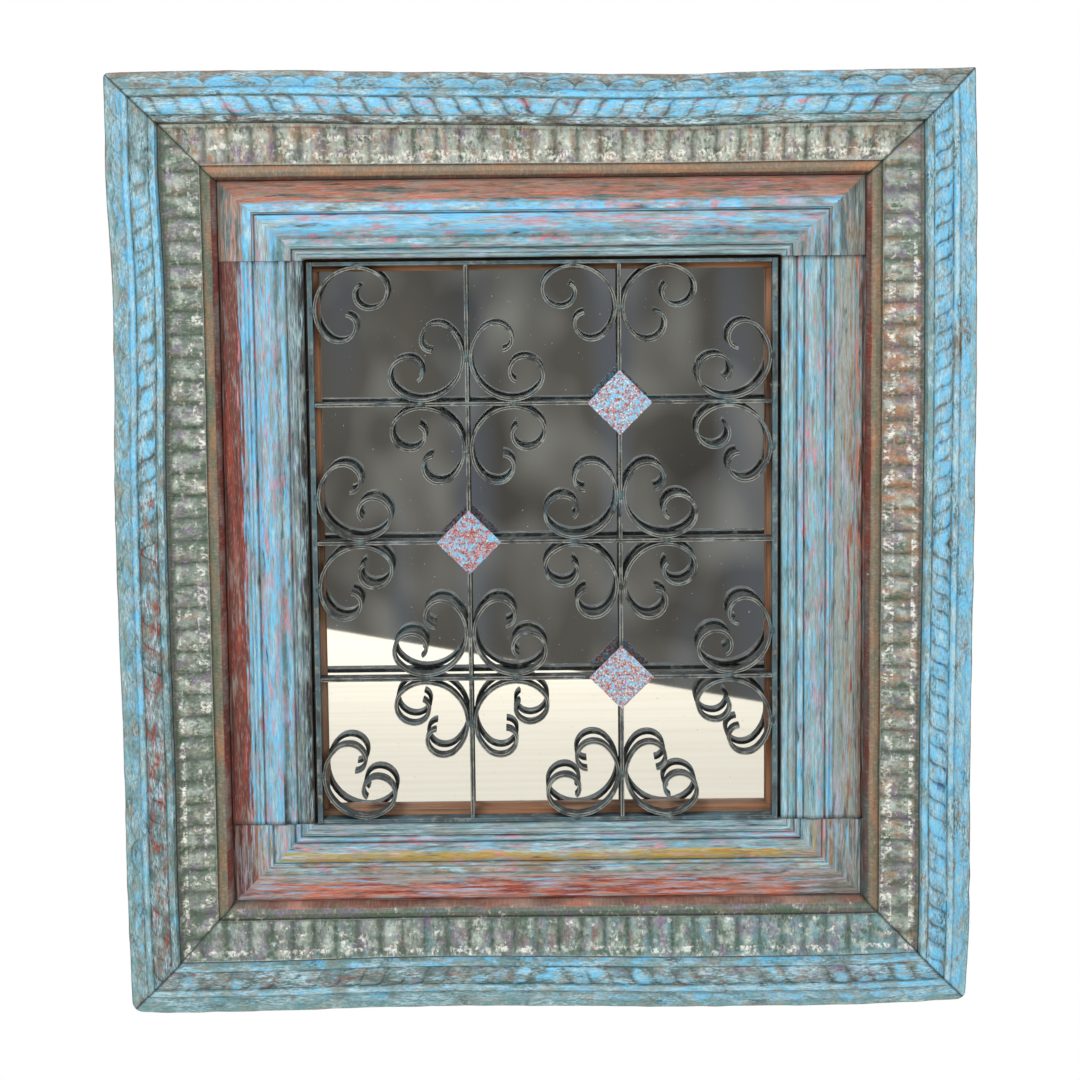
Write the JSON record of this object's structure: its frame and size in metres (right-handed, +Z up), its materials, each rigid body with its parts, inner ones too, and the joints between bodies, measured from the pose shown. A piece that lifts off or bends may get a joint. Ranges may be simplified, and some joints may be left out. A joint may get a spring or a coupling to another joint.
{
  "type": "grilled wall mirror",
  "caption": "Wall mirror in a carved and painted old wooden window frame, with a wrought-iron scroll grille in front of the glass and two strap hangers on the back.",
  "frame": {"origin": "middle of the back face of the backing board, which lies on the wall plane", "axes": "+Y points back into the wall, -Y out of the mirror's front, +Z up and +X to the right as seen from the front"},
  "size_m": [1, 0.108, 1.106],
  "materials": {
    "sky_blue_paint": "old sky-blue paint worn to reddish and grey undercoats",
    "grey_green_paint": "chipped grey-green paint with white and orange flecks",
    "worn_window_paint": "weathered blue, lilac and salmon paint over dark grain",
    "dark_batten": "rough, dark stained",
    "bare_slip_wood": "bare, light oiled",
    "backing_plywood": "raw plywood",
    "mirror_silver": "clear silvered glass",
    "blue_grey_iron": "worn blue-grey patina with bare edges",
    "speckled_paint": "speckled sky-blue, white and red paint",
    "zinc_steel": "zinc plated"
  },
  "bodies": {
    "mirror": {"outer_rail_top": "sky_blue_paint", "outer_rail_bottom": "sky_blue_paint", "outer_stile_left": "sky_blue_paint", "outer_stile_right": "sky_blue_paint", "fluted_rail_top": "grey_green_paint", "fluted_rail_bottom": "grey_green_paint", "fluted_stile_left": "grey_green_paint", "fluted_stile_right": "grey_green_paint", "batten_top": "dark_batten", "batten_bottom": "dark_batten", "batten_left": "dark_batten", "batten_right": "dark_batten", "window_rail_top": "worn_window_paint", "window_rail_bottom": "worn_window_paint", "window_stile_left": "worn_window_paint", "window_stile_right": "worn_window_paint", "mirror_slip_top": "bare_slip_wood", "mirror_slip_bottom": "bare_slip_wood", "mirror_slip_left": "bare_slip_wood", "mirror_slip_right": "bare_slip_wood", "mirror_glass": "mirror_silver", "backing_board": "backing_plywood", "grille_rim_top": "blue_grey_iron", "grille_rim_bottom": "blue_grey_iron", "grille_rim_left": "blue_grey_iron", "grille_rim_right": "blue_grey_iron", "grille_upright_left": "blue_grey_iron", "grille_upright_right": "blue_grey_iron", "grille_bar_top": "blue_grey_iron", "grille_bar_middle": "blue_grey_iron", "grille_bar_bottom": "blue_grey_iron", "scrolls_top_left": "blue_grey_iron", "scrolls_top_middle": "blue_grey_iron", "scrolls_upper_left": "blue_grey_iron", "scrolls_upper_right": "blue_grey_iron", "scrolls_middle_left": "blue_grey_iron", "scrolls_middle_right": "blue_grey_iron", "scrolls_lower_left": "blue_grey_iron", "scrolls_lower_right": "blue_grey_iron", "scrolls_bottom_left": "blue_grey_iron", "scrolls_bottom_middle": "blue_grey_iron", "diamond_upper": "speckled_paint", "diamond_middle": "speckled_paint", "diamond_lower": "speckled_paint", "grille_screw_left_upper": "zinc_steel", "grille_screw_left_lower": "zinc_steel", "grille_screw_right_upper": "zinc_steel", "grille_screw_right_lower": "zinc_steel", "board_screw_top": "zinc_steel", "board_screw_bottom": "zinc_steel", "board_screw_left_upper": "zinc_steel", "board_screw_left_lower": "zinc_steel", "board_screw_right_upper": "zinc_steel", "board_screw_right_lower": "zinc_steel", "hanger_strap_left": "zinc_steel", "hanger_strap_right": "zinc_steel", "hanger_screw_left": "zinc_steel", "hanger_screw_right": "zinc_steel"},
    "left_ring": {"hanger_ring_left": "zinc_steel"},
    "right_ring": {"hanger_ring_right": "zinc_steel"}
  },
  "joints": [
    {"name": "left_ring_swing", "type": "hinge", "parent": "mirror", "child": "left_ring", "pos_m": [-0.37585, -0.00445, 0.25], "axis": [1, 0, 0], "range_deg": [0, 180]},
    {"name": "right_ring_swing", "type": "hinge", "parent": "mirror", "child": "right_ring", "pos_m": [0.37585, -0.00445, 0.25], "axis": [1, 0, 0], "range_deg": [0, 180]}
  ]
}
